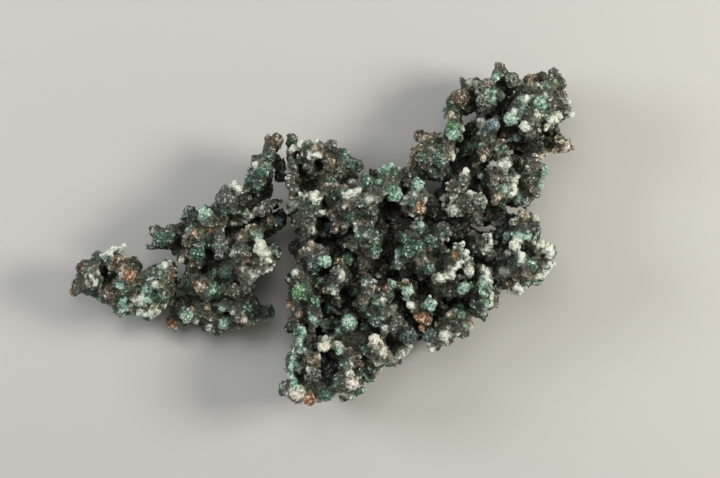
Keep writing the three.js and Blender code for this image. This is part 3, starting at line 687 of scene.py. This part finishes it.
def growKnobs(limb, onFork, settings, hollows, specimen):
    draw = random.Random(bedSettings["seed"] + settings["seed"])
    bed = {"knobs": [], "cells": {}}
    bare = BVHTree.FromObject(limb, bpy.context.evaluated_depsgraph_get())
    placeKnobs(bed, draw, bare, settings)
    scatterKnobs(bed, draw, limb, onFork, settings, hollows, specimen)
    return bed["knobs"]


# A knob is an uneven ball: how far its three widths and its corners stray from round.
ball = {"subdivisions": 2, "widths": (0.82, 1.15), "corners": (0.93, 1.07)}


def unitBall():
    bpy.ops.object.select_all(action="DESELECT")
    bpy.ops.mesh.primitive_ico_sphere_add(subdivisions=ball["subdivisions"], radius=1)
    piece = bpy.context.object
    points = pointsOf(piece.data).astype(float)
    faces = np.array([tuple(face.vertices) for face in piece.data.polygons])
    bpy.data.objects.remove(piece)
    return points, faces


ballPoints, ballFaces = unitBall()

# The knobs fuse with the limb at the voxel's size, and the surface is raised in ever finer layers: slow
# lumps, pebbles on them and drusy grains on those. A height under 0 raises the middles of a layer's cells.
surface = {
    "voxel": 0.25,
    "smoothing": 0.5,
    "keptShare": 0.64,  # triangles kept when the surface is thinned
    "maxTriangles": 195000,
}
layers = {
    "lumps": {"kind": "CLOUDS", "width": 3.4, "height": 0.5, "level": 0.5, "pattern": {"noise_depth": 2}},
    "pebbles": {"kind": "VORONOI", "width": 1.25, "height": -0.42, "level": 0.3,
                "pattern": {"distance_metric": "DISTANCE_SQUARED"}},
    "grains": {"kind": "VORONOI", "width": 0.7, "height": -0.32, "level": 0.3,
               "pattern": {"distance_metric": "DISTANCE_SQUARED"}},
}
for name, layer in layers.items():
    layer["texture"] = bpy.data.textures.new(name, layer["kind"])
    layer["texture"].noise_scale = layer["width"] * mm
    for setting, value in layer["pattern"].items():
        setattr(layer["texture"], setting, value)


def fuseKnobs(limb, knobs, seed):
    draw = np.random.default_rng(seed)
    count = len(knobs)
    centres = np.array([tuple(knob[0]) for knob in knobs])
    radii = np.array([knob[1] for knob in knobs])
    widths = draw.uniform(*ball["widths"], (count, 3))
    corners = draw.uniform(*ball["corners"], (count, len(ballPoints), 1))
    points = ballPoints[None] * widths[:, None] * corners * radii[:, None, None] + centres[:, None]
    faces = ballFaces[None] + (np.arange(count) * len(ballPoints))[:, None, None]
    mesh = bpy.data.meshes.new("knobs")
    mesh.from_pydata(points.reshape(-1, 3).tolist(), [], faces.reshape(-1, 3).tolist())
    knobPiece = bpy.data.objects.new("knobs", mesh)
    bpy.context.scene.collection.objects.link(knobPiece)
    makeActive(limb)
    knobPiece.select_set(True)
    bpy.ops.object.join()
    applyModifier(limb, "REMESH", mode="VOXEL", voxel_size=surface["voxel"] * mm, use_smooth_shade=True)
    applyModifier(limb, "SMOOTH", factor=surface["smoothing"], iterations=1)


def raiseLayers(limb):
    for layer in layers.values():
        applyModifier(limb, "DISPLACE", texture=layer["texture"], texture_coords="LOCAL",
                      strength=layer["height"] * mm, mid_level=layer["level"])
    kept = min(surface["keptShare"], surface["maxTriangles"] / triangleCount(limb.data))
    applyModifier(limb, "DECIMATE", ratio=kept)
    low, high = np.array(cadBox[0]), np.array(cadBox[1])
    setPoints(limb.data, np.clip(pointsOf(limb.data), low, high))


def linear(hexColour, alpha=1.0):
    parts = [int(hexColour[i:i + 2], 16) / 255 for i in (1, 3, 5)]
    return [p / 12.92 if p <= 0.04045 else ((p + 0.055) / 1.055) ** 2.4 for p in parts] + [alpha]


def averaged(values, edges, degree, rounds):
    # each vertex goes halfway to the mean of its neighbours, so many times over
    for _ in range(rounds):
        summed = np.empty_like(values)
        for axis in range(values.shape[1]):
            column = values[:, axis]
            summed[:, axis] = (np.bincount(edges[:, 0], column[edges[:, 1]], len(values))
                               + np.bincount(edges[:, 1], column[edges[:, 0]], len(values)))
        values = 0.5 * values + 0.5 * summed / degree[:, None]
    return values


def addAttribute(mesh, name, values):
    attribute = mesh.attributes.new(name, "FLOAT", "POINT")
    attribute.data.foreach_set("value", np.ascontiguousarray(values, np.float32))


# What the finish reads from the surface: the blurs are rounds of averaging.
marks = {
    "fineBlur": 8,
    "broadBlur": 60,
    "fullRise": 0.22,  # how far a grain stands over the fine blur where its mark is full
    "fullSwell": 0.9,  # and a knob, blurred finely, over the broad blur
    "asked": 4,  # nearest knobs asked about each place
    "coatReach": 0.35,  # how far outside its knob a coat ends, in radii
    "hueBlur": 5,
    "stainBlur": 40,  # a faint stain goes further out
    "paleBlur": 3,
    "openBlur": 4,
}


def knobAt(points, knobs):
    # for each point the nearest knob, and how much of its coat lies there
    tree = KDTree(len(knobs))
    for i, knob in enumerate(knobs):
        tree.insert(knob[0], i)
    tree.balance()
    radii = [knob[1] for knob in knobs]
    chosen = np.zeros(len(points), int)
    strength = np.zeros(len(points))
    for i, point in enumerate(points):
        found = [(gap - radii[index], index) for _, index, gap in tree.find_n(point, marks["asked"])]
        gap, chosen[i] = min(found, key=lambda pair: pair[0])
        strength[i] = 1 - gap / (marks["coatReach"] * radii[chosen[i]])
    return chosen, np.clip(strength, 0, 1)


def markFinish(limb, knobs):
    mesh = limb.data
    edges = np.empty(len(mesh.edges) * 2, np.int32)
    mesh.edges.foreach_get("vertices", edges)
    edges = edges.reshape(-1, 2)
    points, normals = pointsOf(mesh).astype(float), normalsOf(mesh).astype(float)
    degree = np.bincount(edges.ravel(), minlength=len(points)).astype(float)
    fine = averaged(points, edges, degree, marks["fineBlur"])
    broad = averaged(fine, edges, degree, marks["broadBlur"])
    rise = ((points - fine) * normals).sum(1) / mm
    swell = ((fine - broad) * normals).sum(1) / mm
    addAttribute(mesh, "rise", np.clip(rise / marks["fullRise"], -1, 1))
    addAttribute(mesh, "swell", np.clip(swell / marks["fullSwell"], -1, 1))

    chosen, strength = knobAt(points, knobs)
    hues = {name: linear(colour)[:3] for name, (colour, _, _) in coats.items()}
    share = np.array([coats[knob[2]][1] for knob in knobs])[chosen] * strength
    hue = np.array([hues[knob[2]] for knob in knobs])[chosen] * share[:, None]
    hue = averaged(np.column_stack((hue, share)), edges, degree, marks["hueBlur"])
    hue += averaged(hue, edges, degree, marks["stainBlur"])
    hue[:, :3] /= np.maximum(hue[:, 3:], 0.001)
    hue[:, 3] = np.minimum(hue[:, 3], 1)
    coat = mesh.attributes.new("coat", "FLOAT_COLOR", "POINT")
    coat.data.foreach_set("color", np.ascontiguousarray(hue, np.float32).ravel())
    pale = np.array([coats[knob[2]][2] for knob in knobs])[chosen] * strength
    addAttribute(mesh, "pale", averaged(pale[:, None], edges, degree, marks["paleBlur"])[:, 0])
    seen = np.array([knob[3] for knob in knobs])[chosen]
    addAttribute(mesh, "open", averaged(seen[:, None], edges, degree, marks["openBlur"])[:, 0])


def addNode(tree, kind, inputs=(), **settings):
    node = tree.nodes.new("ShaderNode" + kind)
    for setting, value in settings.items():
        setattr(node, setting, value)
    for socket, value in dict(inputs).items():
        if isinstance(value, bpy.types.NodeSocket):
            tree.links.new(value, node.inputs[socket])
        else:
            node.inputs[socket].default_value = value
    return node


# Botryoidal manganese oxide, grown in air-filled hollows and dusted by later crusts: dull, sooty black
# in its pits, where it is also painted darker as shade, silky where it is bare, with drusy malachite, pale
# carbonate on the tips and a little copper; its raised grains are painted lighter as highlights. Its tiny
# crystal faces glint.
oxideFinish = {
    "tints": {
        # sooty black, also used as painted shade in the low places and hollows
        "soot": "#302e22",
        "umber": "#524334",
        "sage": "#394c3f",
        "olive": "#454837",
        "malachite": "#28523e",
        # white for pale crust, and for painted highlights on the raised grains
        "whiteCrust": "#eff3e9",
    },
    "drifts": {  # tints over the umber: where in its cloud each starts and is full, and its share
        "sage": (0.4, 0.6, 1.0),
        "olive": (0.42, 0.6, 1.0),
        "malachite": (0.5, 0.64, 0.6),
    },
    "clouds": {  # width and detail
        "sage": (6.0, 2.0),
        "olive": (3.1, 2.0),
        "malachite": (7.0, 2.0),
        "mottle": (1.6, 2.0),  # coats are worn through in such patches
        "dust": (0.18, 3.0),
    },
    "cloudRoughness": 0.6,
    "grainWidth": 0.5,  # drusy grains
    "speckWidth": 0.27,  # the finest specks, as coarse as they need to be to show
    "grainTilt": 0.9,  # how far the grains' faces lean, as a share of the normal
    "speckTilt": 0.6,
    "lift": {"rise": 0.4, "swell": 0.3, "grain": 0.38, "speck": 0.52},  # what makes a place lighter: rise and swell paint raised places lighter and low ones darker, as painted highlight and painted shade, and grain and speck differ at random
    "coatWear": (0.4, 0.7),  # the mottle over which a coat holds
    "coatHold": 0.3,  # what a full coat adds to it
    "sootAndShadeTo": (0.0, 0.95),  # the lift over which soot and painted shade give way to the hue,
    "paleLift": 0.35,  # which a pale coat adds to
    "tipAndHighlightFrom": (0.82, 1.32),  # the lift over which the hue gives way to white tips, which are pale crust and painted highlights
    "paleTip": 0.5,
    "whiteSpecks": (0.2, 1.0),
    "shelterShade": (0.75, 0.15, 0.6),  # painted shade: openness where the darkening towards soot starts and is full, and its share
    "dipShade": (-0.05, -0.9, 0.5),  # the same painted shade for the swell, where the surface dips
    "glints": (0.6, 0.9),
    "roughness": 0.62,
    "glintRoughness": 0.2,
    "ior": 1.6,
    "bumpHeight": 0.2,
    "bump": {"grain": -0.9, "speck": -0.35, "dust": 0.3},
}


def makeOxide():
    finish = oxideFinish
    material = bpy.data.materials.new("botryoidalManganeseOxide")
    material.use_nodes = True
    tree = material.node_tree
    tree.nodes.clear()
    tints = {name: linear(colour) for name, colour in finish["tints"].items()}
    # a map range takes inputs 1 and 2 to inputs 3 and 4, or to 0 and 1; a mix lays input 7 over input 6
    eased = {"interpolation_type": "SMOOTHSTEP"}
    over = {"data_type": "RGBA", "clamp_factor": True}

    def weighed(*terms):
        # the sum of the terms, each a value and its weight
        result = 0.0
        for value, weight in terms:
            result = addNode(tree, "Math", {0: value, 1: weight, 2: result},
                             operation="MULTIPLY_ADD").outputs[0]
        return result

    def faceted(normal, cells, tilt):
        # each cell is a crystal face that leans its own way
        lean = addNode(tree, "VectorMath", {0: cells["Color"], 1: (0.5, 0.5, 0.5)}, operation="SUBTRACT")
        return addNode(tree, "VectorMath", {0: lean.outputs[0], 1: (tilt, tilt, tilt), 2: normal},
                       operation="MULTIPLY_ADD").outputs[0]

    place = addNode(tree, "TexCoord").outputs["Object"]
    clouds = {}
    for name, (width, detail) in finish["clouds"].items():
        cloud = addNode(tree, "TexNoise", {"Vector": place, "Scale": 1 / (width * mm), "Detail": detail,
                                           "Roughness": finish["cloudRoughness"]})
        clouds[name] = cloud.outputs["Fac"]
    cells = []
    for width in (finish["grainWidth"], finish["speckWidth"]):
        cells.append(addNode(tree, "TexVoronoi", {"Vector": place, "Scale": 1 / (width * mm)}).outputs)
    grain, speck = cells
    grainDraws, speckDraws = [addNode(tree, "SeparateColor", {0: cell["Color"]}).outputs for cell in cells]
    marked = {}
    for name in ("rise", "swell", "pale", "open"):
        marked[name] = addNode(tree, "Attribute", attribute_name=name).outputs["Fac"]
    coat = addNode(tree, "Attribute", attribute_name="coat").outputs

    # the hue drifts slowly from umber to sage, olive and thin malachite, and the worn coats lie on top
    hue = tints["umber"]
    for name, (start, full, share) in finish["drifts"].items():
        here = addNode(tree, "MapRange", {0: clouds[name], 1: start, 2: full, 4: share}, **eased)
        hue = addNode(tree, "Mix", {0: here.outputs[0], 6: hue, 7: tints[name]}, **over).outputs[2]
    start, full = finish["coatWear"]
    covered = weighed((clouds["mottle"], 1.0), (coat["Alpha"], finish["coatHold"]))
    covered = addNode(tree, "MapRange", {0: covered, 1: start, 2: full}, **eased)
    covered = addNode(tree, "Math", {0: coat["Alpha"], 1: covered.outputs[0]}, operation="MULTIPLY")
    hue = addNode(tree, "Mix", {0: covered.outputs[0], 6: hue, 7: coat["Color"]}, **over).outputs[2]

    # its value changes from grain to grain at random, and with the shape as painted light: soot and painted
    # shade in the low places between grains, and white tips on the raised ones, which are pale crust and
    # painted highlights
    weights = finish["lift"]
    lift = weighed((marked["rise"], weights["rise"]), (marked["swell"], weights["swell"]),
                   (grainDraws[0], weights["grain"]), (speckDraws[1], weights["speck"]))
    start, full = finish["sootAndShadeTo"]
    clearOfSootAndShade = weighed((lift, 1.0), (marked["pale"], finish["paleLift"]))
    clearOfSootAndShade = addNode(tree, "MapRange", {0: clearOfSootAndShade, 1: start, 2: full}, **eased)
    colour = addNode(tree, "Mix", {0: clearOfSootAndShade.outputs[0], 6: tints["soot"], 7: hue}, **over)
    start, full = finish["whiteSpecks"]
    white = addNode(tree, "MapRange", {0: speckDraws[1], 1: start, 2: full}, **eased)
    tip = addNode(tree, "Mix", {0: white.outputs[0], 6: hue, 7: tints["whiteCrust"]}, **over)
    start, full = finish["tipAndHighlightFrom"]
    high = weighed((lift, 1.0), (marked["pale"], finish["paleTip"]))
    high = addNode(tree, "MapRange", {0: high, 1: start, 2: full}, **eased)
    colour = addNode(tree, "Mix", {0: high.outputs[0], 6: colour.outputs[2], 7: tip.outputs[2]}, **over)

    # painted shade: the hollows, where little sky shows or the surface dips, are darkened towards soot, over
    # the sooty oxide they hold
    sootAndShadeShare = 0.0
    for name, cause in (("open", "shelterShade"), ("swell", "dipShade")):
        start, full, share = finish[cause]
        low = addNode(tree, "MapRange", {0: marked[name], 1: start, 2: full, 4: share}, **eased)
        sootAndShadeShare = addNode(tree, "Math", {0: sootAndShadeShare, 1: low.outputs[0]}, operation="MAXIMUM").outputs[0]
    colour = addNode(tree, "Mix", {0: sootAndShadeShare, 6: colour.outputs[2], 7: tints["soot"]}, **over)

    # some specks are smooth faces that glint
    start, full = finish["glints"]
    rough = addNode(tree, "MapRange", {0: speckDraws[2], 1: start, 2: full, 3: finish["roughness"],
                                       4: finish["glintRoughness"]}, **eased)
    weights = finish["bump"]
    relief = weighed((grain["Distance"], weights["grain"]), (speck["Distance"], weights["speck"]),
                     (clouds["dust"], weights["dust"]))
    bump = addNode(tree, "Bump", {"Height": relief, "Strength": 1.0, "Distance": finish["bumpHeight"] * mm})
    normal = faceted(bump.outputs[0], grain, finish["grainTilt"])
    normal = faceted(normal, speck, finish["speckTilt"])
    normal = addNode(tree, "VectorMath", {0: normal}, operation="NORMALIZE")
    shader = addNode(tree, "BsdfPrincipled", {"Base Color": colour.outputs[2], "Roughness": rough.outputs[0],
                                              "Normal": normal.outputs[0], "IOR": finish["ior"]})
    addNode(tree, "OutputMaterial", {"Surface": shader.outputs[0]})
    return material


oxide = makeOxide()
specimen = treeOf(list(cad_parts))
allTriangles = 0
for name, settings in limbs.items():
    hollows = hollowsOf(settings)
    limb, onFork = bareLimb(name, hollows)
    knobs = growKnobs(limb, onFork, settings, hollows, specimen)
    fuseKnobs(limb, knobs, settings["seed"])
    raiseLayers(limb)
    markFinish(limb, knobs)
    limb.data.materials.clear()
    limb.data.materials.append(oxide)
    limb.data.polygons.foreach_set("use_smooth", [True] * len(limb.data.polygons))
    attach(limb, "root")
    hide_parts(name)
    allTriangles += triangleCount(limb.data)
    print(name, "grown:", len(knobs), "knobs,", triangleCount(limb.data), "triangles")
print("specimen grown:", allTriangles, "triangles")

# A pale floor of matt paper, wide enough to fill every view.
floorSettings = {"side": 2.4, "colour": "#c6c4c0", "roughness": 0.8}
bpy.ops.object.select_all(action="DESELECT")
bpy.ops.mesh.primitive_plane_add(size=floorSettings["side"], location=(0, 0, 0))
floor = bpy.context.object
floor.name = "floor"
paper = bpy.data.materials.new("mattPaper")
paper.use_nodes = True
paperInputs = paper.node_tree.nodes["Principled BSDF"].inputs
paperInputs["Base Color"].default_value = linear(floorSettings["colour"])
paperInputs["Roughness"].default_value = floorSettings["roughness"]
floor.data.materials.append(paper)

# Two soft lights low on either side and one overhead, aimed at the middle of the specimen, in faint daylight.
lights = {
    "sideRight": {"place": (420, 60, 330), "size": 170, "power": 2.1, "colour": "#fffaf2"},
    "sideLeft": {"place": (-430, 120, 300), "size": 190, "power": 1.33, "colour": "#f5f9ff"},
    "overhead": {"place": (-40, 200, 620), "size": 300, "power": 0.82, "colour": "#ffffff"},
}
aimedAt = (0, 0, 10)
daylight = {"colour": "#eff0e8", "strength": 0.27}
for name, light in lights.items():
    bpy.ops.object.light_add(type="AREA", location=[c * mm for c in light["place"]])
    lamp = bpy.context.object
    lamp.name = name
    lamp.data.size = light["size"] * mm
    lamp.data.energy = light["power"]
    lamp.data.color = linear(light["colour"])[:3]
    aim = Vector(aimedAt) * mm - lamp.location
    lamp.rotation_euler = aim.to_track_quat("-Z", "Y").to_euler()
world = bpy.data.worlds.new("studio")
bpy.context.scene.world = world
world.use_nodes = True
worldInputs = world.node_tree.nodes["Background"].inputs
worldInputs["Color"].default_value = linear(daylight["colour"])
worldInputs["Strength"].default_value = daylight["strength"]

# A long lens straight above, over the middle of the view rather than of the specimen.
cameraSettings = {
    "lens": 135,
    "sensor": 36,
    "viewWidth": 169.9,
    "over": (9.7, -1.3),
    "focusHeight": 14,  # the view is that wide at this height
    "clip": (10, 10000),
}
overX, overY = cameraSettings["over"]
distance = cameraSettings["viewWidth"] * cameraSettings["lens"] / cameraSettings["sensor"]
height = cameraSettings["focusHeight"] + distance
bpy.ops.object.camera_add(location=(overX * mm, overY * mm, height * mm), rotation=(0, 0, 0))
camera = bpy.context.object
camera.data.lens = cameraSettings["lens"]
camera.data.sensor_width = cameraSettings["sensor"]
camera.data.clip_start, camera.data.clip_end = [c * mm for c in cameraSettings["clip"]]
bpy.context.scene.camera = camera
bpy.context.scene.view_settings.view_transform = "Standard"
print("floor, lights and camera placed")
